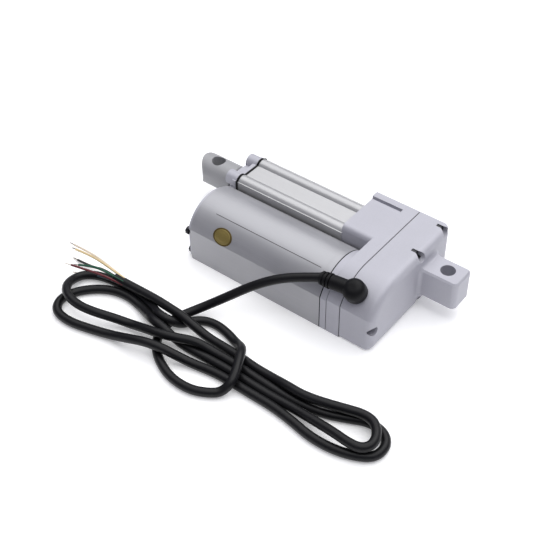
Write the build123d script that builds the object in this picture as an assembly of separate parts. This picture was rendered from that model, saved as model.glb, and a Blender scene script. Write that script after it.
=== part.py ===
from build123d import *
from math import acos, atan2, cos, hypot, pi, radians, sin, sqrt, tan
import os

# Linear actuator, in millimetres.
# The origin is the centre of the rear eye. +X is the way the rod extends, +Y is towards the
# motor and +Z is up, along both eye holes. The actuator lies on its flat side, at z = FLOOR.

# ---------------------------------------------------------------- driving dimensions
EYE_TO_EYE = 155.0        # hole to hole, retracted
STROKE = 50.0
SCREW_LEAD = 3.0          # rod travel for one turn of the lead screw
EYE_RADIUS = 4.1          # for an 8 mm pin
HALF_HEIGHT = 18.0        # the gearbox and casing are 36 mm thick
FLOOR = -HALF_HEIGHT
TUBE_SIDE = -22.0         # outer faces of the gearbox, in Y
MOTOR_SIDE = 52.0
CREASE_Z = 4.0            # where the round top meets the flat motor side
ROUND_FROM = 30.0         # Y where the flat top turns into the round corner

# stations along X
LUG_END = -10.0
REAR_FACE = 12.0
PARTING = 32.0            # between the gearbox halves
BLOCK_FRONT = 40.0        # front of the gearbox block
ADAPTER_FRONT = 44.0
COLLAR_FRONT = 58.5
TUBE_FRONT = 130.0
CASING_FRONT = 132.5
CAP_FRONT = 139.5
GASKET = 0.6              # gasket thickness
ADAPTER_GASKET = 0.4
TUBE_GASKET = 1.3
REAR_ROUND = 4.5          # round of the rear face's edges
WALL = 2.5

# bearings, rear to front faces
FRONT_BEARING = (46.0, 53.0)
REAR_BEARING = (15.0, 21.0)
FRONT_RING, REAR_RING = 7.5, 6.5    # radius of each ball circle

# lead screw and rod
SCREW_RADIUS = 5.0
JOURNAL_RADIUS = 3.5      # behind the front bearing
SCREW_TIP = 123.0
ROD_RADIUS = 8.0
ROD_BORE = 5.6
ROD_END_RADIUS = 9.0
ROD_END_REACH = 12.0      # in front of the eye
ROD_FRONT = EYE_TO_EYE - 14.5
SPIGOT = 12.0             # of the rod end, inside the rod
PIN_X, PIN_RADIUS = ROD_FRONT - 4, 1.5
NUT_REAR = 60.0
NUT_LENGTH = 14.0
NUT_NECK, NUT_NECK_RADIUS = 5.0, 6.6    # the part inside the rod
TUBE_BORE = 10.0          # radius
RUNNING = 0.06            # radial running clearance

# gears: module, teeth and pressure angle
PRESSURE_ANGLE = radians(25)
ADDENDUM = 0.8            # of a module
DEDENDUM = 1.1
BACKLASH = 0.10           # taken off each tooth's width
FIRST_MODULE, PINION_TEETH, LARGE_TEETH = 0.6, 9, 45
SECOND_MODULE, SMALL_TEETH, SCREW_TEETH = 0.8, 11, 34
FIRST_CENTRES = FIRST_MODULE * (PINION_TEETH + LARGE_TEETH) / 2
SECOND_CENTRES = SECOND_MODULE * (SMALL_TEETH + SCREW_TEETH) / 2
SCREW_GEAR_X = (24.0, 31.0)
LARGE_GEAR_X = (33.0, 37.5)

# motor
MOTOR = (34.0, -1.5)      # its axis, in Y and Z
MOTOR_RADIUS = 14.5
MOTOR_REAR = 46.0         # the motor's gearbox end
MOTOR_LENGTH = 68.0
MOTOR_FRONT = MOTOR_REAR + MOTOR_LENGTH
SHAFT_RADIUS = 1.5
CAN_WALL = 1.2
BELL_LENGTH = 6.0
PLATE = 2.0
BOSS_HOLE = 5.2           # radius, round the motor's boss
CASING_BORE = MOTOR_RADIUS + 0.3
END_CAP_SCREWS = [(50.1, 0.0), (48.5, -14.5), (18.0, -14.5), (18.0, 6.0)]
TAP_RADIUS = 1.25

# the idler stands where both gear pairs are in mesh
_span = hypot(*MOTOR)
_along = (SECOND_CENTRES**2 - FIRST_CENTRES**2 + _span**2) / (2 * _span)
_aside = sqrt(SECOND_CENTRES**2 - _along**2)
IDLER = (
    (_along * MOTOR[0] - _aside * MOTOR[1]) / _span,
    (_along * MOTOR[1] + _aside * MOTOR[0]) / _span,
)
AXLE_RADIUS = 2.5
AXLE_FRONT = 43.5

# tube section: four lobes with a screw channel each
TUBE_HALF = 13.0
LOBE_Y, LOBE_Z, LOBE_RADIUS = 9.1, 10.8, 4.2
TIE_RADIUS = 1.5
TIE_HOLE = 1.7
TIE_REAR = 51.0
TIE_SINK = 3.0            # depth of the heads' counterbores
LOBES = [(sy * LOBE_Y, sz * LOBE_Z) for sy in (-1, 1) for sz in (-1, 1)]

# gearbox screws, in Y and Z on the rear face
GEARBOX_SCREWS = [(6.5, 15.4), (6.5, -15.4), (-18.2, 15.4), (-18.2, -15.4), (48.9, -4.2)]
HEAD_RADIUS, RECESS_RADIUS, M3_RADIUS = 2.5, 2.8, 1.5
RECESS_DEPTH = 7.0
HEAD_HEIGHT = 2.8
THREAD_END = 38.4         # where the gearbox screws end
CLEARANCE = 0.15          # round a screw's shank
KEY_RADIUS = 1.25         # hexagon sockets, to a corner

# elbow connector on the round corner of the gearbox
ELBOW_FOOT = Vector(26.1, 45.3, 11.85)
ELBOW_TILT = radians(32)  # its axis leans towards the motor side
ELBOW_TURN = radians(6)   # its neck turns from +X towards the motor side
ELBOW_RADIUS = 6.1
ELBOW_HEIGHT = 10.2
ELBOW_DOME = 4.4          # round of its top edge
FLANGE_RADIUS = 4.9
FLANGE_TOP = 1.6          # above the foot
NECK_HEIGHT = 5.6
NECK_REACH = 19.4         # from the elbow's axis to the cable
NECK_RADIUS = 3.9
RELIEF_LENGTH = 6.6
RELIEF_RADIUS = 3.1
RIB_RADIUS, RIB_WIDTH, RIB_PITCH, RIBS = 4.15, 1.2, 2.1, 3

# cable
CABLE_RADIUS = 2.5
WIRE_RADIUS = 0.65


# ---------------------------------------------------------------- small helpers
def block(x0, x1, y0, y1, z0, z1):
    centre = Pos((x0 + x1) / 2, (y0 + y1) / 2, (z0 + z1) / 2)
    return centre * Box(x1 - x0, y1 - y0, z1 - z0)


def rod_x(radius, x0, x1, at=(0, 0)):
    return Pos((x0 + x1) / 2, *at) * Rot(0, 90, 0) * Cylinder(radius, x1 - x0)


def ring_x(outer, inner, x0, x1, at=(0, 0)):
    return rod_x(outer, x0, x1, at) - rod_x(inner, x0 - 1, x1 + 1, at)


def section_x(face, x0, x1):
    """A face drawn in Y and Z, drawn out along X."""
    return extrude(Plane.YZ.offset(x0) * face, amount=x1 - x0)


def along(start, direction, radius, length):
    """A cylinder from a point, in any direction."""
    plane = Plane(origin=start, z_dir=direction)
    return plane * Pos(0, 0, length / 2) * Cylinder(radius, length)


def edges_near(part, x=None, y=None, z=None, along_axis=None, within=0.05):
    edges = part.edges()
    if along_axis is not None:
        edges = edges.filter_by(along_axis)
    for axis, value in (("X", x), ("Y", y), ("Z", z)):
        if value is not None:
            edges = [e for e in edges if abs(getattr(e.center(), axis) - value) < within]
    return edges


def solids_of(parts):
    return Compound(children=[s for part in parts for s in part.solids()])


# ---------------------------------------------------------------- sections
def gearbox_face(inset=0.0):
    """The gearbox outline: flat top, round motor corner, flat side and bottom."""
    top, low, side = HALF_HEIGHT - inset, FLOOR + inset, MOTOR_SIDE - inset
    reach, drop = side - ROUND_FROM, top - CREASE_Z
    radius = (reach**2 + drop**2) / (2 * drop)
    middle = (ROUND_FROM + radius * sin(radians(30)), top - radius * (1 - cos(radians(30))))
    left = TUBE_SIDE + inset
    outline = Polyline((ROUND_FROM, top), (left, top), (left, low), (side, low), (side, CREASE_Z))
    outline += ThreePointArc((side, CREASE_Z), middle, (ROUND_FROM, top))
    return make_face(outline)


def casing_face(inset=0.0):
    """The motor casing's outline: a round top over a flat side and bottom."""
    left, side, low = 14.4 + inset, MOTOR_SIDE - inset, FLOOR + inset
    outline = Polyline((left, 8.3 - inset), (left, low), (side, low), (side, 3.2 - inset * 0.4))
    outline += ThreePointArc((side, 3.2 - inset * 0.4), (32.5, 16.6 - inset), (left, 8.3 - inset))
    return make_face(outline)


def tube_face(grow=0.0):
    face = Rectangle(2 * (LOBE_Y + LOBE_RADIUS + grow), 2 * (TUBE_HALF + grow))
    for y, z in LOBES:
        face += Pos(y, z) * Circle(LOBE_RADIUS + grow)
    return face


# ---------------------------------------------------------------- gears
def involute(angle):
    return tan(angle) - angle


def gear_face(module, teeth, bore, phase):
    """An involute gear in Y and Z, with a tooth centred at the phase angle."""
    pitch = module * teeth / 2
    base = pitch * cos(PRESSURE_ANGLE)
    tip = pitch + ADDENDUM * module
    root = pitch - DEDENDUM * module
    half = pi / (2 * teeth) - BACKLASH / (2 * pitch)

    def half_angle(radius):
        roll = acos(min(1.0, base / radius))
        return half + involute(PRESSURE_ANGLE) - involute(roll)

    start = max(base, root)
    radii = [start + (tip - start) * i / 4 for i in range(5)]
    if root < base:
        radii = [root] + radii
    points = []
    for tooth in range(teeth):
        middle = phase + 2 * pi * tooth / teeth
        for sign, order in ((-1, radii), (1, radii[::-1])):
            for radius in order:
                angle = middle + sign * half_angle(max(radius, start))
                points.append((radius * cos(angle), radius * sin(angle)))
    return make_face(Polyline(*points, close=True)) - Circle(bore)


def gear(module, teeth, bore, x_range, at=(0, 0), tooth_at=0.0):
    face = Pos(*at) * gear_face(module, teeth, bore, tooth_at)
    return section_x(face, *x_range)


def direction(start, end):
    return atan2(end[1] - start[1], end[0] - start[0])


# ---------------------------------------------------------------- gearbox
def gearbox_cavity(x0, x1):
    room = Circle(14.7)
    room += Pos(*IDLER) * Circle(14.45)
    room += Pos(29, -0.75) * Rectangle(22, 27.5)
    room += Pos(42.5, -3.75) * Rectangle(7, 21.5)
    return section_x(room, x0, x1)


def lug():
    body = block(LUG_END, REAR_FACE + 1, -8, 8, -9, 9)
    body = fillet(edges_near(body, x=LUG_END, along_axis=Axis.Z), 3.0)
    top_and_bottom = [e for z in (-9, 9) for e in edges_near(body, z=z)]
    return chamfer([e for e in top_and_bottom if e.center().X < REAR_FACE], 1.0)


def rear_cover():
    body = section_x(gearbox_face(), REAR_FACE, PARTING - GASKET)
    body = fillet(edges_near(body, z=FLOOR, along_axis=Axis.X), 2.0)
    body = fillet(edges_near(body, x=REAR_FACE), REAR_ROUND)
    body += lug()
    lug_foot = [e for e in edges_near(body, x=REAR_FACE) if abs(e.center().Y) < 8.1
                and abs(e.center().Z) < 9.1]
    body = fillet(lug_foot, 2.5)
    body -= gearbox_cavity(REAR_FACE + WALL, PARTING)
    body += ring_x(11.6, 9.5 + 0.01, REAR_FACE + WALL - 0.5, 21)
    body += rod_x(4.5, REAR_FACE + WALL - 0.5, 22.5, IDLER)
    body -= rod_x(AXLE_RADIUS, REAR_FACE + 1, 30, IDLER)
    body -= Cylinder(EYE_RADIUS, 2 * HALF_HEIGHT)
    for spot in GEARBOX_SCREWS:
        body -= rod_x(RECESS_RADIUS, REAR_FACE - 1, REAR_FACE + RECESS_DEPTH, spot)
        body -= rod_x(M3_RADIUS + CLEARANCE, REAR_FACE, PARTING, spot)
    axis = elbow_axis()
    body -= along(ELBOW_FOOT - axis * 0.6, axis, FLANGE_RADIUS + CLEARANCE, 8)
    body -= along(ELBOW_FOOT - axis * 7, axis, 3.3, 8)
    return body


def front_housing():
    body = section_x(gearbox_face(), PARTING, BLOCK_FRONT)
    collar = block(BLOCK_FRONT - 1, COLLAR_FRONT, TUBE_SIDE, 13, FLOOR, HALF_HEIGHT)
    collar = fillet(edges_near(collar, y=13, along_axis=Axis.X), 3.2)
    body += collar
    body += block(BLOCK_FRONT, COLLAR_FRONT + 1.2, TUBE_SIDE, -17.7, FLOOR, HALF_HEIGHT)
    for z0, z1 in ((HALF_HEIGHT - 2.6, HALF_HEIGHT + 1), (FLOOR - 1, FLOOR + 2.6)):
        body -= block(BLOCK_FRONT, COLLAR_FRONT + 2, -17.7, -15.4, z0, z1)
    body -= gearbox_cavity(PARTING - 1, 38)
    body -= rod_x(11.0, ADAPTER_FRONT + 2, COLLAR_FRONT + 1)
    body -= rod_x(6.0, 37, 48)
    body -= rod_x(AXLE_RADIUS, 37, 41, IDLER)
    body -= rod_x(BOSS_HOLE, 37, 41, MOTOR)
    for spot in GEARBOX_SCREWS:
        body -= rod_x(M3_RADIUS, PARTING - 1, 38.5, spot)
    for spot in LOBES:
        body -= rod_x(TIE_RADIUS, 50, COLLAR_FRONT + 1, spot)
    return body


def motor_adapter():
    body = section_x(casing_face(), BLOCK_FRONT + ADAPTER_GASKET, ADAPTER_FRONT)
    body -= rod_x(BOSS_HOLE, BLOCK_FRONT - 1, ADAPTER_FRONT + 1, MOTOR)
    return body - rod_x(AXLE_RADIUS, BLOCK_FRONT - 1, AXLE_FRONT, IDLER)


def adapter_gasket():
    body = section_x(casing_face(inset=0.3), BLOCK_FRONT, BLOCK_FRONT + ADAPTER_GASKET)
    body -= rod_x(BOSS_HOLE, BLOCK_FRONT - 1, ADAPTER_FRONT, MOTOR)
    return body - rod_x(AXLE_RADIUS + 0.05, BLOCK_FRONT - 1, ADAPTER_FRONT, IDLER)


def gearbox_gasket():
    body = section_x(gearbox_face(inset=0.25), PARTING - GASKET, PARTING)
    body -= gearbox_cavity(PARTING - 2, PARTING + 1)
    for spot in GEARBOX_SCREWS:
        body -= rod_x(M3_RADIUS + CLEARANCE, PARTING - 2, PARTING + 1, spot)
    return body


def gearbox_screws():
    screws = []
    for spot in GEARBOX_SCREWS:
        head = REAR_FACE + RECESS_DEPTH
        screw = rod_x(HEAD_RADIUS, head - HEAD_HEIGHT, head, spot)
        screw += rod_x(M3_RADIUS, head, THREAD_END, spot)
        socket = RegularPolygon(KEY_RADIUS, 6)
        screws.append(screw - section_x(Pos(*spot) * socket, head - 3, head - 1.3))
    return solids_of(screws)


# ---------------------------------------------------------------- motor casing
def motor_casing():
    body = section_x(casing_face(), ADAPTER_FRONT + GASKET, CASING_FRONT)
    for spot in END_CAP_SCREWS:
        body -= rod_x(TAP_RADIUS, CASING_FRONT - 6, CASING_FRONT + 1, spot)
    return body - rod_x(CASING_BORE, ADAPTER_FRONT, CASING_FRONT + 1, MOTOR)


def casing_gasket():
    body = section_x(casing_face(), ADAPTER_FRONT, ADAPTER_FRONT + GASKET)
    return body - rod_x(CASING_BORE, ADAPTER_FRONT - 1, ADAPTER_FRONT + 2, MOTOR)



def motor_end_cap():
    body = section_x(casing_face(inset=1.2), CASING_FRONT, CASING_FRONT + 2)
    body += ring_x(MOTOR_RADIUS, MOTOR_RADIUS - 2, CASING_FRONT - 4, CASING_FRONT, MOTOR)
    for spot in END_CAP_SCREWS:
        body -= rod_x(1.4, CASING_FRONT - 1, CASING_FRONT + 3, spot)
    return body


def end_cap_screws():
    front = CASING_FRONT + 2
    screws = []
    for spot in END_CAP_SCREWS:
        head = rod_x(2.3, front, front + 1.5, spot)
        head -= block(front + 0.8, front + 2, spot[0] - 3, spot[0] + 3, spot[1] - 0.3, spot[1] + 0.3)
        screws.append(head + rod_x(TAP_RADIUS, front - 8, front, spot))
    return solids_of(screws)


# ---------------------------------------------------------------- tube and front cap
def outer_tube():
    body = section_x(tube_face(), COLLAR_FRONT, TUBE_FRONT)
    body -= rod_x(TUBE_BORE, COLLAR_FRONT - 1, TUBE_FRONT + 1)
    body -= block(COLLAR_FRONT - 1, TUBE_FRONT + 1, -4, 4, -11.6, -8)
    for spot in LOBES:
        body -= rod_x(TIE_HOLE, COLLAR_FRONT - 1, TUBE_FRONT + 1, spot)
    return body


def tube_gasket():
    body = section_x(tube_face(grow=0.3), TUBE_FRONT, TUBE_FRONT + TUBE_GASKET)
    body -= rod_x(TUBE_BORE + 0.05, TUBE_FRONT - 1, TUBE_FRONT + 2)
    for spot in LOBES:
        body -= rod_x(TIE_HOLE, TUBE_FRONT - 1, TUBE_FRONT + 2, spot)
    return body


def front_cap():
    rear = TUBE_FRONT + TUBE_GASKET
    body = section_x(tube_face(), rear, rear + 2.6)
    for spot in LOBES:
        body += rod_x(LOBE_RADIUS, rear, CAP_FRONT - 0.5, spot)
    hub = rod_x(11.4, rear, CAP_FRONT)
    body += chamfer(edges_near(hub, x=CAP_FRONT), 1.5)
    body -= rod_x(TUBE_BORE, rear - 1, 136.5)
    body -= rod_x(ROD_RADIUS + 0.5, rear - 1, CAP_FRONT + 1)
    for spot in LOBES:
        body -= rod_x(TIE_HOLE, rear - 1, CAP_FRONT, spot)
        body -= rod_x(2.8, CAP_FRONT - TIE_SINK, CAP_FRONT, spot)
    return body


def tie_screws():
    screws = []
    for spot in LOBES:
        head = rod_x(2.6, CAP_FRONT - TIE_SINK, CAP_FRONT - 0.8, spot)
        head -= section_x(Pos(*spot) * RegularPolygon(KEY_RADIUS, 6), CAP_FRONT - 2.2, CAP_FRONT)
        screws.append(head + rod_x(TIE_RADIUS, TIE_REAR, CAP_FRONT - TIE_SINK, spot))
    return solids_of(screws)


def guide_bush():
    return ring_x(TUBE_BORE, ROD_RADIUS + RUNNING, 125.5, 136.5)


def wiper_seal():
    body = ring_x(ROD_RADIUS + 0.5, ROD_RADIUS + RUNNING, 136.6, CAP_FRONT)
    return body + ring_x(9.3, ROD_RADIUS + RUNNING, CAP_FRONT, CAP_FRONT + 0.6)


# ---------------------------------------------------------------- bearings
def bearing_outer(outer, middle, x0, x1):
    """An outer ring with half of the ball groove."""
    return ring_x(outer, middle + 0.9, x0, x1) - groove(middle, x0, x1)


def bearing_inner(inner, middle, x0, x1):
    return ring_x(middle - 0.9, inner, x0, x1) - groove(middle, x0, x1)


def ball_radius(x0, x1):
    return (x1 - x0) * 0.26


def groove(middle, x0, x1):
    circle = Pos((x0 + x1) / 2, middle) * Circle(ball_radius(x0, x1) + 0.05)
    return revolve(Plane.XY * circle, axis=Axis.X)


def bearing_balls(middle, x0, x1, count):
    ball = Pos((x0 + x1) / 2, middle, 0) * Sphere(ball_radius(x0, x1))
    return solids_of([Rot(360 * i / count, 0, 0) * ball for i in range(count)])



def bearing_retainer():
    return ring_x(11.0, 7.0, FRONT_BEARING[1], FRONT_BEARING[1] + 2.5)


# ---------------------------------------------------------------- screw, nut and rod
def lead_screw():
    body = rod_x(JOURNAL_RADIUS, REAR_BEARING[0], FRONT_BEARING[0])
    body += rod_x(4.0, FRONT_BEARING[0] - 0.5, FRONT_BEARING[1] + 0.5)
    body += rod_x(5.6, FRONT_BEARING[1] + 0.2, FRONT_BEARING[1] + 3)
    body += rod_x(SCREW_RADIUS, FRONT_BEARING[1] + 3, SCREW_TIP)
    return chamfer(edges_near(body, x=SCREW_TIP), 1.0)


def lead_nut():
    body = rod_x(TUBE_BORE - 0.08, NUT_REAR, NUT_REAR + NUT_LENGTH)
    front = NUT_REAR + NUT_LENGTH
    body += rod_x(NUT_NECK_RADIUS, front, front + NUT_NECK)
    body -= rod_x(SCREW_RADIUS + RUNNING, NUT_REAR - 1, front + NUT_NECK + 1)
    body += block(NUT_REAR, front, -3.8, 3.8, -10.6, -9.2)
    return body - block(NUT_REAR + 5, NUT_REAR + 9, -2, 2, -11, -8.8)


def nut_magnet():
    return block(NUT_REAR + 5, NUT_REAR + 9, -2, 2, -10.5, -8.8)



def rod_tube():
    rear = NUT_REAR + NUT_LENGTH
    body = rod_x(ROD_RADIUS, rear, ROD_FRONT)
    body -= rod_x(ROD_BORE, rear - 1, ROD_FRONT + 1)
    body -= rod_x(NUT_NECK_RADIUS, rear - 1, rear + NUT_NECK)
    return body - Pos(PIN_X, 0, 0) * Cylinder(PIN_RADIUS, 40)


def rod_end():
    body = rod_x(ROD_END_RADIUS, ROD_FRONT, EYE_TO_EYE + ROD_END_REACH)
    body = chamfer(edges_near(body, x=ROD_FRONT), 1.0)
    outline = Pos(EYE_TO_EYE - 10, 0) * Rectangle(20, 24) + Pos(EYE_TO_EYE, 0) * Circle(10.2)
    body &= extrude(Plane.XY.offset(-12) * outline, amount=24)
    body += rod_x(ROD_BORE, ROD_FRONT - SPIGOT, ROD_FRONT + 1)
    body -= Pos(PIN_X, 0, 0) * Cylinder(PIN_RADIUS, 40)
    return body - Pos(EYE_TO_EYE, 0, 0) * Cylinder(EYE_RADIUS, 40)


def rod_end_pin():
    return Pos(PIN_X, 0, 0) * Cylinder(PIN_RADIUS, 2 * ROD_RADIUS - 0.6)


# ---------------------------------------------------------------- motor
def motor_can():
    return ring_x(MOTOR_RADIUS, MOTOR_RADIUS - CAN_WALL, MOTOR_REAR + PLATE,
                  MOTOR_FRONT - BELL_LENGTH, MOTOR)


def motor_front_plate():
    body = rod_x(MOTOR_RADIUS, MOTOR_REAR, MOTOR_REAR + PLATE, MOTOR)
    body += rod_x(5.0, MOTOR_REAR - 3, MOTOR_REAR + 4, MOTOR)
    return body - rod_x(SHAFT_RADIUS + RUNNING, MOTOR_REAR - 4, MOTOR_REAR + 5, MOTOR)


def motor_rear_bell():
    rear = MOTOR_FRONT - BELL_LENGTH
    body = rod_x(MOTOR_RADIUS, rear, MOTOR_FRONT, MOTOR)
    body -= rod_x(MOTOR_RADIUS - 2, rear - 1, MOTOR_FRONT - 2, MOTOR)
    return body - rod_x(SHAFT_RADIUS + RUNNING, rear - 1, MOTOR_FRONT + 1, MOTOR)


def motor_magnets():
    outer = MOTOR_RADIUS - CAN_WALL
    ring = ring_x(outer, outer - 2.8, MOTOR_REAR + 10, MOTOR_FRONT - 18, MOTOR)
    gap = block(MOTOR_REAR, MOTOR_FRONT, MOTOR[0] - 4, MOTOR[0] + 4, -30, 30)
    return ring - gap


def brushes():
    x0 = MOTOR_FRONT - 12
    return solids_of([
        block(x0, x0 + 4, MOTOR[0] - 2, MOTOR[0] + 2, MOTOR[1] + low, MOTOR[1] + low + 4)
        for low in (3.9, -7.9)
    ])


def motor_shaft():
    return rod_x(SHAFT_RADIUS, LARGE_GEAR_X[0] - 0.5, MOTOR_FRONT + 7, MOTOR)


def armature_core():
    x0, x1 = MOTOR_REAR + 13, MOTOR_FRONT - 21
    body = ring_x(MOTOR_RADIUS - 4.6, SHAFT_RADIUS, x0, x1, MOTOR)
    for i in range(5):
        angle = 2 * pi * i / 5
        slot_at = (MOTOR[0] + 7.2 * cos(angle), MOTOR[1] + 7.2 * sin(angle))
        body -= rod_x(1.9, x0 - 1, x1 + 1, slot_at)
    return body


def armature_windings():
    ends = []
    for x0 in (MOTOR_REAR + 9, MOTOR_FRONT - 21):
        ends.append(ring_x(MOTOR_RADIUS - 6, SHAFT_RADIUS + 0.4, x0, x0 + 4, MOTOR))
    return solids_of(ends)


def commutator():
    x0 = MOTOR_FRONT - 14
    body = ring_x(3.8, SHAFT_RADIUS, x0, x0 + 8, MOTOR)
    for i in range(5):
        slit = Pos(x0 + 4, 3.8, 0) * Box(9, 1.0, 0.4)
        body -= Pos(0, *MOTOR) * Rot(72 * i, 0, 0) * slit
    return body


def encoder_magnet():
    return ring_x(4.5, SHAFT_RADIUS, MOTOR_FRONT + 2, MOTOR_FRONT + 5, MOTOR)


def hall_board():
    x0 = MOTOR_FRONT + 6.2
    body = rod_x(12.5, x0, x0 + 1.2, MOTOR) - rod_x(2.2, x0 - 1, x0 + 2, MOTOR)
    chips = [block(x0 - 0.8, x0, MOTOR[0] + y - 1.5, MOTOR[0] + y + 1.5, MOTOR[1] + 5.5, MOTOR[1] + 8.5)
             for y in (-4, 4)]
    return body + chips[0] + chips[1]


def control_board():
    body = block(24, 25.4, 36, 45.2, -14, -6)
    return body + block(22.5, 24, 38, 42, -12, -8)


def end_stop_board():
    body = block(COLLAR_FRONT + 1, TUBE_FRONT - 5, -3.6, 3.6, -11.5, -11.0)
    for x in (66.0, 116.0):
        body += block(x - 1, x + 1, -1.5, 1.5, -11.1, -10.75)
    return body


# ---------------------------------------------------------------- elbow connector and cable
def elbow_axis():
    return Vector(0, sin(ELBOW_TILT), cos(ELBOW_TILT))


def neck_direction():
    across = Vector(0, cos(ELBOW_TILT), -sin(ELBOW_TILT))
    return Vector(1, 0, 0) * cos(ELBOW_TURN) + across * sin(ELBOW_TURN)


def neck_start():
    return ELBOW_FOOT + elbow_axis() * NECK_HEIGHT


def cable_exit():
    return neck_start() + neck_direction() * NECK_REACH


def elbow_flange():
    axis = elbow_axis()
    body = along(ELBOW_FOOT - axis * 0.6, axis, FLANGE_RADIUS, FLANGE_TOP + 0.6)
    body += along(ELBOW_FOOT - axis * 5, axis, 3.2, 5)
    return body - along(ELBOW_FOOT - axis * 6, axis, 1.8, 9)


def elbow_body():
    axis = elbow_axis()
    post = along(ELBOW_FOOT + axis * FLANGE_TOP, axis, ELBOW_RADIUS, ELBOW_HEIGHT - FLANGE_TOP)
    post = fillet(post.edges().sort_by(Axis.Z)[-1:], ELBOW_DOME)
    neck = along(neck_start(), neck_direction(), NECK_RADIUS, NECK_REACH - RELIEF_LENGTH)
    return post + neck


def strain_relief():
    """A ribbed sleeve that tapers towards the cable."""
    way = neck_direction()
    start = cable_exit() - way * RELIEF_LENGTH
    body = along(start, way, RELIEF_RADIUS, RELIEF_LENGTH)
    for i in range(RIBS):
        body += along(start + way * (0.5 + RIB_PITCH * i), way, RIB_RADIUS - 0.2 * i, RIB_WIDTH)
    return body


# The cable's way from the elbow to where it runs in under the hank.
CABLE_ROUTE = [
    (56.5, 55.0, 13.2),
    (67.0, 60.8, 9.8),
    (78.0, 67.6, 3.2),
    (88.5, 73.8, -5.6),
    (99.0, 82.2, -13.0),
    (106.8, 95.0, -15.5),
]


def turn_at(before, corner, after):
    return radians((corner - before).get_angle(after - corner))


def tube_along(points, radius):
    """A round tube on straight runs joined by the largest tangent arcs."""
    points = [Vector(p) for p in points]
    radii = []
    for before, corner, after in zip(points, points[1:], points[2:]):
        run = min((corner - before).length, (after - corner).length)
        radii.append(0.45 * run / tan(turn_at(before, corner, after) / 2))
    path = FilletPolyline(*points, radius=radii)
    way = points[1] - points[0]
    profile = Plane(origin=points[0], z_dir=way) * Circle(radius)
    body = sweep(profile, path=path)
    share = body.volume / (pi * radius**2 * path.length)
    print("tube", round(path.length, 1), "long, radii", [round(r) for r in radii],
          "volume/section", round(share, 3))
    return body


def cable_lead():
    return tube_along([cable_exit()] + CABLE_ROUTE, CABLE_RADIUS)


# The hank's outer shape, seen from above: two long loops tied a third of the way along.
HANK_OUTLINE = [(-33, 96), (-17, 86), (40, 91), (84, 83), (104, 91), (152, 93), (174, 104),
                (170, 124), (146, 131), (84, 129), (62, 125), (25, 114), (-17, 118)]
HANK_HEIGHT = 11.0


def cable_hank():
    face = make_face(Polyline(*HANK_OUTLINE, close=True))
    face = fillet(face.vertices(), 6.0)
    return extrude(Plane.XY.offset(FLOOR) * face, amount=HANK_HEIGHT)


# Each wire starts inside the hank's solid, at a clock angle on the jacket's end, and fans out.
WIRE_START = Vector(147.0, 95.2, -10.2)
WIRE_CIRCLE = 1.75
WIRE_ROUTES = {
    "wire_white": (180, [(161, 90.6, -9.6), (176, 88.4, -11.4), (190.5, 87.0, -14.6)]),
    "wire_yellow": (120, [(159, 92.8, -8.0), (172, 91.4, -9.4), (185.5, 90.0, -13.4)]),
    "wire_black": (240, [(160, 92.2, -12.6), (170, 93.6, -15.4), (181.5, 93.2, -16.9)]),
    "wire_green": (60, [(158, 96.4, -8.4), (166, 97.4, -9.8), (174.5, 98.6, -12.8)]),
    "wire_blue": (300, [(158, 96.6, -13.0), (165, 99.0, -15.6), (173.0, 100.8, -16.6)]),
    "wire_red": (0, [(156, 98.6, -9.8), (163.5, 102.6, -7.2), (172.0, 105.6, -6.2)]),
}


def wire(clock, route):
    offset = Vector(0, cos(radians(clock)), sin(radians(clock))) * WIRE_CIRCLE
    return tube_along([WIRE_START + offset] + route, WIRE_RADIUS)


# ---------------------------------------------------------------- all nodes
def gears():
    to_idler = direction((0, 0), IDLER)
    from_idler = direction(IDLER, (0, 0))
    to_motor = direction(IDLER, MOTOR)
    from_motor = direction(MOTOR, IDLER)
    half_small = pi / SMALL_TEETH
    half_pinion = pi / PINION_TEETH
    return {
        "screw_gear": gear(SECOND_MODULE, SCREW_TEETH, JOURNAL_RADIUS, SCREW_GEAR_X,
                           tooth_at=to_idler),
        "idler_small_gear": gear(SECOND_MODULE, SMALL_TEETH, AXLE_RADIUS + RUNNING,
                                 (SCREW_GEAR_X[0] - 1, LARGE_GEAR_X[0]), IDLER,
                                 from_idler + half_small),
        "idler_large_gear": gear(FIRST_MODULE, LARGE_TEETH, AXLE_RADIUS + RUNNING,
                                 LARGE_GEAR_X, IDLER, to_motor),
        "motor_pinion": gear(FIRST_MODULE, PINION_TEETH, SHAFT_RADIUS,
                             (LARGE_GEAR_X[0] - 0.5, LARGE_GEAR_X[1] + 0.3), MOTOR,
                             from_motor + half_pinion),
    }


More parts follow.
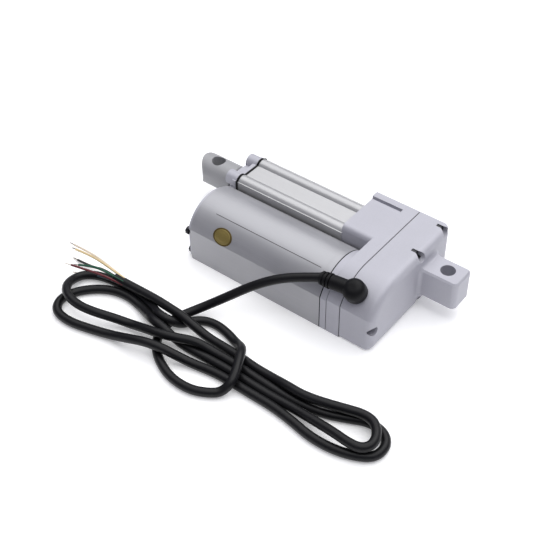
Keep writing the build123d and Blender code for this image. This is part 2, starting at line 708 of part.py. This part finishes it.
def nodes():
    made = {
        "rear_cover": rear_cover(),
        "gearbox_gasket": gearbox_gasket(),
        "front_housing": front_housing(),
        "motor_adapter": motor_adapter(),
        "adapter_gasket": adapter_gasket(),
        "casing_gasket": casing_gasket(),
        "motor_casing": motor_casing(),
        "motor_end_cap": motor_end_cap(),
        "end_cap_screws": end_cap_screws(),
        "gearbox_screws": gearbox_screws(),
        "outer_tube": outer_tube(),
        "tube_gasket": tube_gasket(),
        "front_cap": front_cap(),
        "tie_screws": tie_screws(),
        "guide_bush": guide_bush(),
        "wiper_seal": wiper_seal(),
        "front_bearing_outer": bearing_outer(11.0, FRONT_RING, *FRONT_BEARING),
        "front_bearing_balls": bearing_balls(FRONT_RING, *FRONT_BEARING, 8),
        "front_bearing_inner": bearing_inner(4.0, FRONT_RING, *FRONT_BEARING),
        "bearing_retainer": bearing_retainer(),
        "rear_bearing_outer": bearing_outer(9.5, REAR_RING, *REAR_BEARING),
        "rear_bearing_balls": bearing_balls(REAR_RING, *REAR_BEARING, 8),
        "rear_bearing_inner": bearing_inner(JOURNAL_RADIUS, REAR_RING, *REAR_BEARING),
        "idler_axle": rod_x(AXLE_RADIUS, REAR_FACE + 1, AXLE_FRONT, IDLER),
        "motor_can": motor_can(),
        "motor_magnets": motor_magnets(),
        "motor_front_plate": motor_front_plate(),
        "motor_rear_bell": motor_rear_bell(),
        "brushes": brushes(),
        "hall_board": hall_board(),
        "control_board": control_board(),
        "end_stop_board": end_stop_board(),
        "elbow_flange": elbow_flange(),
        "elbow_body": elbow_body(),
        "strain_relief": strain_relief(),
        "cable_lead": cable_lead(),
        "cable_hank": cable_hank(),
        "rod_tube": rod_tube(),
        "rod_end": rod_end(),
        "rod_end_pin": rod_end_pin(),
        "lead_nut": lead_nut(),
        "nut_magnet": nut_magnet(),
        "lead_screw": lead_screw(),
        "gear_clip": ring_x(5.4, JOURNAL_RADIUS, SCREW_GEAR_X[1], SCREW_GEAR_X[1] + 0.8),
        "motor_shaft": motor_shaft(),
        "armature_core": armature_core(),
        "armature_windings": armature_windings(),
        "commutator": commutator(),
        "encoder_magnet": encoder_magnet(),
    }
    made.update(gears())
    for name, (clock, route) in WIRE_ROUTES.items():
        made[name] = wire(clock, route)
    return made


def main():
    os.makedirs("parts", exist_ok=True)
    for name, part in nodes().items():
        export_step(part, f"parts/{name}.step")
    turn = 2000 * pi / SCREW_LEAD
    print("ratios in rad/m: screw", turn, "idler", -turn * SCREW_TEETH / SMALL_TEETH,
          "rotor", turn * SCREW_TEETH / SMALL_TEETH * LARGE_TEETH / PINION_TEETH)
    print("idler at", IDLER, "cable exit", cable_exit(), "neck", neck_direction())


main()
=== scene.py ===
import math

import bmesh
import bpy
from mathutils import Matrix, Vector


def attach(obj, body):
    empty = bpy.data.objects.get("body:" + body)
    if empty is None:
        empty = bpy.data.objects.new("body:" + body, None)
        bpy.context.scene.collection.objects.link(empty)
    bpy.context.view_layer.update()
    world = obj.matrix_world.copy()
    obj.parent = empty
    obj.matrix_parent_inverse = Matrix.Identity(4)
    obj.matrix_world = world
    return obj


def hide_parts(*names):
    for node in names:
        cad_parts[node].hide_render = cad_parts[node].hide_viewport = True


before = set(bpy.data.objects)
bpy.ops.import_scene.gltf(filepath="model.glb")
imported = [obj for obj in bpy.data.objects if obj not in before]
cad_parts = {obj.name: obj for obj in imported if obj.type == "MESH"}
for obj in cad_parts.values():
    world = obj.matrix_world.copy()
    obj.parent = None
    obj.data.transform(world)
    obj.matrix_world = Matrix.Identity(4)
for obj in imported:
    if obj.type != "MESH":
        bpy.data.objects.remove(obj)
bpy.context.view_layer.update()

MM = 0.001
FLOOR = -18.0 * MM

# The camera stands above the rear end, on the motor's side, and looks down at the part.
CAMERA_AT = (-0.17901, 0.37240, 0.38670)
CAMERA_YAW = 127.854
CAMERA_PITCH = 43.549
CAMERA_ROLL = -0.274
CAMERA_LENS = 68.56
CAMERA_SENSOR = 36.0
CAMERA_CLIP = (0.01, 20.0)

# The lights, in metres and watts, and the paper that the part lies on, which glows a little.
TARGET = (0.07, 0.04, 0.0)
LIGHTS = {
    "ceiling": dict(at=(0.12, -0.85, 1.50), target=(0.12, -0.85, 0.0), size=(3.2, 2.6), watts=47.0),
    "key": dict(at=(0.02, -0.62, 0.85), target=TARGET, size=(0.5, 0.4), watts=1.2),
    "front": dict(at=(-0.15, 0.62, 1.55), target=TARGET, size=(1.3, 0.9), watts=4.5),
}
WORLD_LEVEL = (0.075, 0.078, 0.13, 1)
WORLD_ABOVE = (0.30, 0.30, 0.33, 1)
WORLD_ABOVE_FROM = 0.9
FLOOR_HALF = 3.0
PAPER_GLOW = 0.24

# The cable, in mm: the lead, the ring and tie, two loops to the left and two folds to the right.
# Its length, in metres, is a first tracing of the photo. The route below is 1.13 m long.
CABLE_DIAMETER = 5.0
CABLE_EXIT = (45.3937, 49.9873, 15.5245)
CABLE = [
    CABLE_EXIT, (56.5, 55.0, 13.2), (67.0, 60.8, 9.8), (78.0, 67.6, 3.2), (88.5, 73.8, -5.6),
    (99.0, 82.2, -13.0), (106.8, 95.0, -15.5),
    # under the bundle and round the ring
    (107.0, 106.6, -15.5), (101.4, 116.4, -15.5), (92.4, 123.0, -15.5), (81.0, 127.6, -15.5),
    (68.0, 127.8, -15.5), (58.4, 123.2, -15.5), (54.2, 119.4, -15.0),
    # over the bundle as its tie
    (51.8, 114.8, -10.8), (53.4, 109.6, -9.6), (56.6, 103.4, -9.4), (60.0, 97.2, -9.6),
    (63.6, 92.2, -12.4), (69.4, 89.4, -15.5),
    # the ring's upper arc, under the free end
    (78.0, 86.6, -15.5), (86.6, 85.4, -15.5), (93.6, 87.2, -15.5), (98.2, 91.4, -15.5),
    (101.0, 97.2, -14.8),
    # the first left loop, over the lead
    (105.0, 101.8, -10.2), (111.5, 102.0, -9.8), (118.0, 98.6, -13.0), (127.0, 94.8, -15.5),
    (138.0, 93.4, -15.5), (150.0, 93.8, -15.5), (161.5, 95.8, -15.5), (168.6, 100.6, -15.2),
    (169.6, 107.6, -13.6), (167.0, 115.2, -11.2), (160.4, 120.8, -10.0), (151.0, 122.8, -10.1),
    (140.5, 121.2, -10.4), (130.0, 116.4, -12.6), (120.5, 112.8, -14.6), (111.0, 113.0, -11.4),
    (102.5, 112.6, -9.6), (93.5, 109.6, -9.6), (84.5, 104.4, -10.8), (75.0, 101.8, -14.6),
    (64.0, 101.0, -15.5),
    # the outer right fold, on the floor
    (48.0, 101.8, -15.5), (34.0, 102.4, -15.5), (20.0, 102.0, -15.5), (7.0, 100.0, -15.5),
    (-4.5, 95.0, -15.5), (-14.0, 90.4, -15.5), (-23.4, 91.6, -15.5), (-28.6, 97.6, -15.5),
    (-27.8, 106.4, -15.5), (-19.4, 111.6, -15.5), (-8.4, 114.6, -15.5), (4.0, 115.0, -15.5),
    (16.5, 112.6, -15.5), (29.0, 111.2, -15.5), (42.0, 111.3, -15.5), (55.0, 111.2, -15.5),
    # the second left loop, under the first
    (66.0, 111.6, -15.5), (78.0, 113.8, -15.5), (87.0, 116.6, -12.6), (95.0, 119.0, -9.8),
    (104.0, 121.2, -9.6), (113.0, 123.2, -11.6), (124.0, 124.6, -15.0), (138.0, 128.4, -15.5),
    (150.0, 131.0, -15.5), (160.6, 129.8, -15.5), (165.6, 122.6, -15.5), (163.4, 113.4, -15.5),
    (156.0, 104.6, -15.5), (147.0, 99.4, -15.5), (137.0, 98.0, -15.5), (127.0, 99.8, -15.5),
    (118.4, 103.4, -13.2), (111.5, 106.8, -10.0), (104.0, 107.6, -9.8), (96.5, 107.4, -13.6),
    (89.0, 107.2, -15.5), (78.0, 106.8, -15.5), (68.0, 106.3, -15.5), (58.0, 106.2, -15.5),
    # the inner right fold, over the outer one
    (46.0, 106.4, -15.5), (33.0, 106.6, -15.5), (20.0, 106.4, -14.8), (7.0, 108.0, -12.4),
    (-6.0, 109.4, -10.5), (-15.0, 110.4, -10.2), (-21.8, 109.6, -10.2), (-25.0, 104.8, -10.2),
    (-23.2, 98.0, -10.2), (-18.0, 92.6, -10.3), (-11.0, 91.8, -10.3), (-2.0, 94.6, -10.3),
    (8.0, 97.6, -10.4), (19.0, 99.8, -10.8), (30.0, 98.8, -12.0), (40.0, 97.2, -14.8),
    (51.0, 96.8, -15.5),
    (61.5, 95.8, -15.5),
    # the free end, over the arc and the lead
    (72.0, 95.4, -15.5), (83.0, 95.4, -15.4), (92.0, 95.6, -12.6), (100.0, 95.6, -9.8),
    (109.0, 95.4, -9.5), (118.0, 94.8, -9.7), (128.0, 94.6, -10.2), (138.0, 95.0, -10.3),
    (149.0, 95.3, -10.2),
]

# The six cores, in mm: each leaves the jacket's end at its own clock angle and lies down loosely.
WIRE_DIAMETER = 1.3
WIRE_START = (147.0, 95.2, -10.2)
WIRE_CIRCLE = 1.75
WIRE_INSIDE = 5.0
TIP_LENGTH = 3.5
TIP_DIAMETER = 0.8
TIP_INSIDE = 0.4
WIRES = {
    "white": (180, [(161, 90.6, -9.6), (176, 88.4, -11.4), (190.5, 87.0, -14.6)]),
    "yellow": (120, [(159, 92.8, -8.0), (172, 91.4, -9.4), (185.5, 90.0, -13.4)]),
    "black": (240, [(160, 92.2, -12.6), (170, 93.6, -15.4), (181.5, 93.2, -16.9)]),
    "green": (60, [(158, 96.4, -8.4), (166, 97.4, -9.8), (174.5, 98.6, -12.8)]),
    "blue": (300, [(158, 96.6, -13.0), (165, 99.0, -15.6), (173.0, 100.8, -16.6)]),
    "red": (0, [(156, 98.6, -9.8), (163.5, 102.6, -7.2), (172.0, 105.6, -6.2)]),
}

# The casing's curved top in the YZ plane, in mm, as three points of its arc.
CASING_ARC = ((14.4, 8.3), (32.5, 16.6), (52.0, 3.2))

# What lies on that top: X, lift and thickness in mm, angles in degrees from +Y round the arc.
LABEL = dict(x_range=(48.5, 124.5), angle_range=(44.0, 88.0), lift=-0.02, thick=0.07)
RULE = dict(x_range=(50.5, 121.0), angle_range=(60.4, 61.4), lift=0.03, thick=0.05, corner=0.1, steps=4)
SEAL_AT = (111.0, 35.6)
SEAL_HALF = (6.2, 4.9)
# The seal's section, from its edge inwards: the share of its half widths, and the lift in mm.
SEAL_RIM = ((1.0, -0.05), (1.0, 0.16), (0.97, 0.24), (0.86, 0.26), (0.83, 0.18))
SEAL_FACE = ((0.83, 0.10), (0.83, 0.18), (0.80, 0.26), (0.66, 0.30), (0.62, 0.24), (0.58, 0.30),
             (0.30, 0.34), (0.06, 0.35))


# ---------------------------------------------------------------- materials

BROAD_SCALE = 55.0
FINE_SHARE = 0.5
NOISE_RANGE = (0.3, 0.7)
BUMP_DISTANCE = 0.0002


def node(tree, kind, **values):
    made = tree.nodes.new(kind)
    for key, value in values.items():
        if hasattr(made, key):
            setattr(made, key, value)
        else:
            made.inputs[key.replace("_", " ")].default_value = value
    return made


def finish_material(name, colour, metallic, roughness, grain=1600.0, bump=0.12, mottle=0.06,
                    spread=0.06, streak=(1.0, 1.0, 1.0), sheen=0.0, coat=0.0, specular=0.5):
    """A surface with fine grain in its bump and roughness and a broad, faint drift in its colour."""
    mat = bpy.data.materials.new(name)
    mat.use_nodes = True
    tree = mat.node_tree
    link = tree.links.new
    shader = tree.nodes["Principled BSDF"]
    shader.inputs["Metallic"].default_value = metallic
    shader.inputs["Sheen Weight"].default_value = sheen
    shader.inputs["Coat Weight"].default_value = coat
    shader.inputs["Specular IOR Level"].default_value = specular
    where = node(tree, "ShaderNodeTexCoord")
    fine_map = node(tree, "ShaderNodeMapping")
    fine_map.inputs["Scale"].default_value = [grain * s for s in streak]
    fine = node(tree, "ShaderNodeTexNoise", Scale=1.0, Detail=4.0)
    broad = node(tree, "ShaderNodeTexNoise", Scale=BROAD_SCALE, Detail=3.0)
    link(where.outputs["Object"], fine_map.inputs["Vector"])
    link(fine_map.outputs["Vector"], fine.inputs["Vector"])
    link(where.outputs["Object"], broad.inputs["Vector"])
    both = node(tree, "ShaderNodeMath", operation="MULTIPLY_ADD")
    both.inputs[1].default_value = FINE_SHARE
    link(fine.outputs["Fac"], both.inputs[0])
    rest = node(tree, "ShaderNodeMath", operation="MULTIPLY")
    rest.inputs[1].default_value = 1 - FINE_SHARE
    link(broad.outputs["Fac"], rest.inputs[0])
    link(rest.outputs["Value"], both.inputs[2])
    ramp = node(tree, "ShaderNodeValToRGB")
    for stop, at, shift in zip(ramp.color_ramp.elements, NOISE_RANGE, (-mottle, mottle)):
        stop.position = at
        stop.color = [min(1.0, c * (1 + shift)) for c in colour] + [1]
    link(both.outputs["Value"], ramp.inputs["Fac"])
    link(ramp.outputs["Color"], shader.inputs["Base Color"])
    gloss = node(tree, "ShaderNodeMapRange")
    gloss.inputs["From Min"].default_value, gloss.inputs["From Max"].default_value = NOISE_RANGE
    gloss.inputs["To Min"].default_value = max(0.02, roughness - spread)
    gloss.inputs["To Max"].default_value = min(1.0, roughness + spread)
    link(both.outputs["Value"], gloss.inputs["Value"])
    link(gloss.outputs["Result"], shader.inputs["Roughness"])
    relief = node(tree, "ShaderNodeBump", Strength=bump, Distance=BUMP_DISTANCE)
    link(fine.outputs["Fac"], relief.inputs["Height"])
    link(relief.outputs["Normal"], shader.inputs["Normal"])
    return mat


ALONG = (0.03, 1.0, 1.0)
MATERIALS = {
    "die_cast": dict(colour=(0.445, 0.443, 0.490), metallic=0.15, roughness=0.50, grain=2200,
                     bump=0.3),
    "die_cast_bright": dict(colour=(0.335, 0.335, 0.345), metallic=0.15, roughness=0.48, grain=2000,
                            bump=0.3),
    "casing_aluminium": dict(colour=(0.385, 0.385, 0.405), metallic=0.40, roughness=0.40, grain=2600,
                             bump=0.14, streak=ALONG, mottle=0.08),
    "tube_aluminium": dict(colour=(0.46, 0.46, 0.465), metallic=0.40, roughness=0.34, grain=2600,
                           bump=0.14, streak=ALONG, mottle=0.06),
    "grey_gasket": dict(colour=(0.10, 0.10, 0.105), metallic=0.0, roughness=0.7),
    "black_rubber": dict(colour=(0.005, 0.005, 0.006), metallic=0.0, roughness=0.46, grain=1500,
                         bump=0.2, mottle=0.2, specular=0.16),
    "black_plastic": dict(colour=(0.030, 0.030, 0.031), metallic=0.0, roughness=0.45, mottle=0.15),
    "black_steel": dict(colour=(0.045, 0.045, 0.050), metallic=0.6, roughness=0.38, mottle=0.2),
    "zinc_steel": dict(colour=(0.62, 0.62, 0.64), metallic=0.95, roughness=0.32),
    "bearing_steel": dict(colour=(0.66, 0.66, 0.67), metallic=1.0, roughness=0.22, bump=0.05),
    "rod_steel": dict(colour=(0.75, 0.75, 0.76), metallic=1.0, roughness=0.16, streak=(1, 0.05, 0.05),
                      bump=0.05),
    "gear_steel": dict(colour=(0.45, 0.45, 0.46), metallic=0.9, roughness=0.40),
    "gear_brass": dict(colour=(0.75, 0.58, 0.26), metallic=1.0, roughness=0.30),
    "pale_plastic": dict(colour=(0.78, 0.76, 0.70), metallic=0.0, roughness=0.42, bump=0.06),
    "ferrite": dict(colour=(0.08, 0.08, 0.085), metallic=0.1, roughness=0.65, mottle=0.2),
    "circuit_board": dict(colour=(0.03, 0.19, 0.08), metallic=0.0, roughness=0.38, mottle=0.35,
                          grain=700),
    "copper_wire": dict(colour=(0.72, 0.38, 0.20), metallic=0.9, roughness=0.34, mottle=0.2,
                        streak=(0.4, 2.0, 2.0)),
    "cable_jacket": dict(colour=(0.006, 0.006, 0.007), metallic=0.0, roughness=0.38, grain=1100,
                         bump=0.16, mottle=0.25, specular=0.24),
    "wire_white": dict(colour=(0.74, 0.66, 0.55), metallic=0.0, roughness=0.35, bump=0.05),
    "wire_yellow": dict(colour=(0.72, 0.56, 0.30), metallic=0.0, roughness=0.35, bump=0.05),
    "wire_black": dict(colour=(0.015, 0.015, 0.015), metallic=0.0, roughness=0.35, bump=0.05),
    "wire_green": dict(colour=(0.010, 0.085, 0.045), metallic=0.0, roughness=0.35, bump=0.05),
    "wire_blue": dict(colour=(0.010, 0.040, 0.060), metallic=0.0, roughness=0.35, bump=0.05),
    "wire_red": dict(colour=(0.12, 0.008, 0.014), metallic=0.0, roughness=0.35, bump=0.05),
    "label_film": dict(colour=(0.387, 0.387, 0.406), metallic=0.40, roughness=0.38, bump=0.03,
                       mottle=0.03),
    "print_black": dict(colour=(0.05, 0.045, 0.05), metallic=0.0, roughness=0.5, bump=0.03),
    "seal_gold": dict(colour=(0.27, 0.205, 0.060), metallic=0.50, roughness=0.36, bump=0.12, mottle=0.18,
                      grain=2600, coat=0.2),
    "seal_rim": dict(colour=(0.12, 0.085, 0.022), metallic=0.5, roughness=0.34, bump=0.05, mottle=0.1),
    "tinned_copper": dict(colour=(0.70, 0.66, 0.60), metallic=1.0, roughness=0.3, streak=(0.1, 2, 2)),
}
FINISH = {name: finish_material(name, **values) for name, values in MATERIALS.items()}

NODE_FINISH = {
    "die_cast": "rear_cover front_housing motor_adapter front_cap motor_end_cap",
    "die_cast_bright": "rod_end",
    "grey_gasket": "gearbox_gasket adapter_gasket",
    "black_rubber": "casing_gasket tube_gasket wiper_seal elbow_flange elbow_body strain_relief",
    "casing_aluminium": "motor_casing",
    "tube_aluminium": "outer_tube",
    "black_plastic": "motor_rear_bell",
    "black_steel": "end_cap_screws gearbox_screws",
    "zinc_steel": "tie_screws bearing_retainer motor_can motor_front_plate gear_clip",
    "pale_plastic": "guide_bush lead_nut",
    "bearing_steel": "front_bearing_outer front_bearing_balls front_bearing_inner rear_bearing_outer "
                     "rear_bearing_balls rear_bearing_inner idler_axle rod_end_pin lead_screw motor_shaft",
    "ferrite": "motor_magnets brushes nut_magnet encoder_magnet",
    "circuit_board": "hall_board control_board end_stop_board",
    "rod_steel": "rod_tube",
    "gear_steel": "screw_gear idler_large_gear idler_small_gear armature_core",
    "copper_wire": "armature_windings commutator",
    "gear_brass": "motor_pinion",
    "cable_jacket": "cable_lead cable_hank",
}


def paint(obj, name):
    if not obj.material_slots:
        obj.data.materials.append(FINISH[name])
    for holder in obj.material_slots:
        holder.material = FINISH[name]


for finish, names in NODE_FINISH.items():
    for name in names.split():
        paint(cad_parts[name], finish)
for core in WIRES:
    paint(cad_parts["wire_" + core], "wire_" + core)


# ---------------------------------------------------------------- camera, light and floor

def make_camera():
    yaw, pitch, roll = (math.radians(a) for a in (CAMERA_YAW, CAMERA_PITCH, CAMERA_ROLL))
    level = math.cos(pitch)
    back = Vector((math.cos(yaw) * level, math.sin(yaw) * level, math.sin(pitch)))
    right = Vector((0, 0, 1)).cross(back).normalized()
    up = back.cross(right)
    side = right * math.cos(roll) + up * math.sin(roll)
    top = up * math.cos(roll) - right * math.sin(roll)
    data = bpy.data.cameras.new("camera")
    data.lens = CAMERA_LENS
    data.sensor_width = CAMERA_SENSOR
    data.clip_start, data.clip_end = CAMERA_CLIP
    obj = bpy.data.objects.new("camera", data)
    turn = Matrix((side, top, back)).transposed().to_4x4()
    obj.matrix_world = Matrix.Translation(CAMERA_AT) @ turn
    bpy.context.scene.collection.objects.link(obj)
    bpy.context.scene.camera = obj


def soft_light(name, at, target, size, watts):
    data = bpy.data.lights.new(name, "AREA")
    data.shape = "RECTANGLE"
    data.size, data.size_y = size
    data.energy = watts
    obj = bpy.data.objects.new(name, data)
    obj.location = at
    obj.rotation_euler = (Vector(target) - Vector(at)).to_track_quat("-Z", "Y").to_euler()
    bpy.context.scene.collection.objects.link(obj)


def make_world():
    world = bpy.data.worlds.new("studio")
    bpy.context.scene.world = world
    world.use_nodes = True
    tree = world.node_tree
    background = tree.nodes["Background"]
    where = node(tree, "ShaderNodeTexCoord")
    parts = node(tree, "ShaderNodeSeparateXYZ")
    ramp = node(tree, "ShaderNodeValToRGB")
    level, above = ramp.color_ramp.elements
    level.position, level.color = 0.0, WORLD_LEVEL
    above.position, above.color = WORLD_ABOVE_FROM, WORLD_ABOVE
    tree.links.new(where.outputs["Generated"], parts.inputs["Vector"])
    tree.links.new(parts.outputs["Z"], ramp.inputs["Fac"])
    tree.links.new(ramp.outputs["Color"], background.inputs["Color"])
    background.inputs["Strength"].default_value = 1.0


def make_floor():
    half = FLOOR_HALF
    mesh = bpy.data.meshes.new("floor")
    mesh.from_pydata([(-half, -half, FLOOR), (half, -half, FLOOR), (half, half, FLOOR),
                      (-half, half, FLOOR)], [], [(0, 1, 2, 3)])
    obj = bpy.data.objects.new("floor", mesh)
    bpy.context.scene.collection.objects.link(obj)
    paper = finish_material("paper_sweep", (0.93, 0.93, 0.93), 0.0, 0.85, grain=900, bump=0.02,
                            mottle=0.005, specular=0.1)
    shader = paper.node_tree.nodes["Principled BSDF"]
    shader.inputs["Emission Color"].default_value = (1, 1, 1, 1)
    shader.inputs["Emission Strength"].default_value = PAPER_GLOW
    mesh.materials.append(paper)


make_camera()
make_world()
make_floor()
for name, light in LIGHTS.items():
    soft_light(name, **light)
bpy.context.scene.view_settings.view_transform = "Standard"


# ---------------------------------------------------------------- pieces of the housing

def place(name, data, finish):
    """A piece in one finish that rides on the housing."""
    obj = bpy.data.objects.new(name, data)
    bpy.context.scene.collection.objects.link(obj)
    data.materials.append(FINISH[finish])
    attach(obj, "housing")
    return obj


def place_mesh(name, mesh, finish, smooth):
    bmesh.ops.recalc_face_normals(mesh, faces=mesh.faces)
    data = bpy.data.meshes.new(name)
    mesh.to_mesh(data)
    mesh.free()
    if smooth:
        data.shade_smooth()
    place(name, data, finish)


# ---------------------------------------------------------------- cords

def spline(name, points, diameter, finish):
    data = bpy.data.curves.new(name, "CURVE")
    data.dimensions = "3D"
    line = data.splines.new("NURBS")
    line.points.add(len(points) - 1)
    for held, point in zip(line.points, points):
        held.co = [c * MM for c in point] + [1.0]
    line.order_u = 3
    line.use_endpoint_u = True
    line.resolution_u = 10
    data.bevel_depth = diameter * MM / 2
    data.bevel_resolution = 5
    data.use_fill_caps = True
    return place(name, data, finish)


cable = spline("cable", CABLE, CABLE_DIAMETER, "cable_jacket")
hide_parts("cable_lead", "cable_hank")

for core, (clock, route) in WIRES.items():
    angle = math.radians(clock)
    x, y, z = WIRE_START
    start = (x - WIRE_INSIDE, y + WIRE_CIRCLE * math.cos(angle), z + WIRE_CIRCLE * math.sin(angle))
    points = [start] + route
    wire = spline("core_" + core, points, WIRE_DIAMETER, "wire_" + core)
    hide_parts("wire_" + core)
    last, before = Vector(points[-1]), Vector(points[-2])
    ahead = (last - before).normalized()
    tip = [last - ahead * TIP_INSIDE, last + ahead * TIP_LENGTH / 2, last + ahead * TIP_LENGTH]
    bare = spline("tip_" + core, tip, TIP_DIAMETER, "tinned_copper")


# ---------------------------------------------------------------- label and seal on the casing

def circle_through(a, b, c):
    (ax, ay), (bx, by), (cx, cy) = a, b, c
    d = 2 * (ax * (by - cy) + bx * (cy - ay) + cx * (ay - by))
    a2, b2, c2 = ax * ax + ay * ay, bx * bx + by * by, cx * cx + cy * cy
    x = (a2 * (by - cy) + b2 * (cy - ay) + c2 * (ay - by)) / d
    y = (a2 * (cx - bx) + b2 * (ax - cx) + c2 * (bx - ax)) / d
    return x, y, math.hypot(ax - x, ay - y)


ARC_Y, ARC_Z, ARC_R = circle_through(*CASING_ARC)


def on_casing(x, angle, lift):
    """A point at an angle from +Y round the casing's curved top, in metres."""
    r = ARC_R + lift
    a = math.radians(angle)
    return Vector((x, ARC_Y + r * math.cos(a), ARC_Z + r * math.sin(a))) * MM


def solid(name, rings, finish):
    """A closed mesh from rings of points, joined into quads and capped at both ends."""
    mesh = bmesh.new()
    rows = [[mesh.verts.new(p) for p in ring] for ring in rings]
    for low, high in zip(rows, rows[1:]):
        count = len(low)
        for i in range(count):
            j = (i + 1) % count
            mesh.faces.new((low[i], low[j], high[j], high[i]))
    mesh.faces.new(rows[-1])
    mesh.faces.new(list(reversed(rows[0])))
    place_mesh(name, mesh, finish, smooth=True)


def patch(name, x_range, angle_range, lift, thick, finish, corner=1.5, steps=28):
    """A thin film with rounded corners that lies on the casing's curved top."""
    x0, x1 = x_range
    a0, a1 = angle_range
    rise = math.radians(a1 - a0) * ARC_R
    rings = []
    for height in (lift, lift + thick):
        low, high = [], []
        for i in range(steps + 1):
            s = rise * i / steps
            edge = min(s, rise - s)
            pull = corner - math.sqrt(max(0.0, corner ** 2 - max(0.0, corner - edge) ** 2))
            angle = a0 + (a1 - a0) * i / steps
            low.append(on_casing(x0 + pull, angle, height))
            high.append(on_casing(x1 - pull, angle, height))
        rings.append((low, high))
    (bottom_low, bottom_high), (top_low, top_high) = rings
    mesh = bmesh.new()
    section = (bottom_low, top_low, top_high, bottom_high)
    corners = [[mesh.verts.new(p) for p in row] for row in section]
    for i in range(steps):
        for a, b in ((0, 1), (1, 2), (2, 3), (3, 0)):
            mesh.faces.new((corners[a][i], corners[b][i], corners[b][i + 1], corners[a][i + 1]))
    for end in (0, steps):
        mesh.faces.new([row[end] for row in corners])
    place_mesh(name, mesh, finish, smooth=False)


def seal_rings(profile, count=72):
    rings = []
    for share, lift in profile:
        ring = []
        for i in range(count):
            turn = math.tau * i / count
            x = SEAL_AT[0] + SEAL_HALF[0] * share * math.cos(turn)
            angle = SEAL_AT[1] + math.degrees(SEAL_HALF[1] * share * math.sin(turn) / ARC_R)
            ring.append(on_casing(x, angle, lift))
        rings.append(ring)
    return rings


patch("rating_label", finish="label_film", **LABEL)
patch("label_rule", finish="print_black", **RULE)
solid("seal_rim", seal_rings(SEAL_RIM), "seal_rim")
solid("seal_face", seal_rings(SEAL_FACE), "seal_gold")
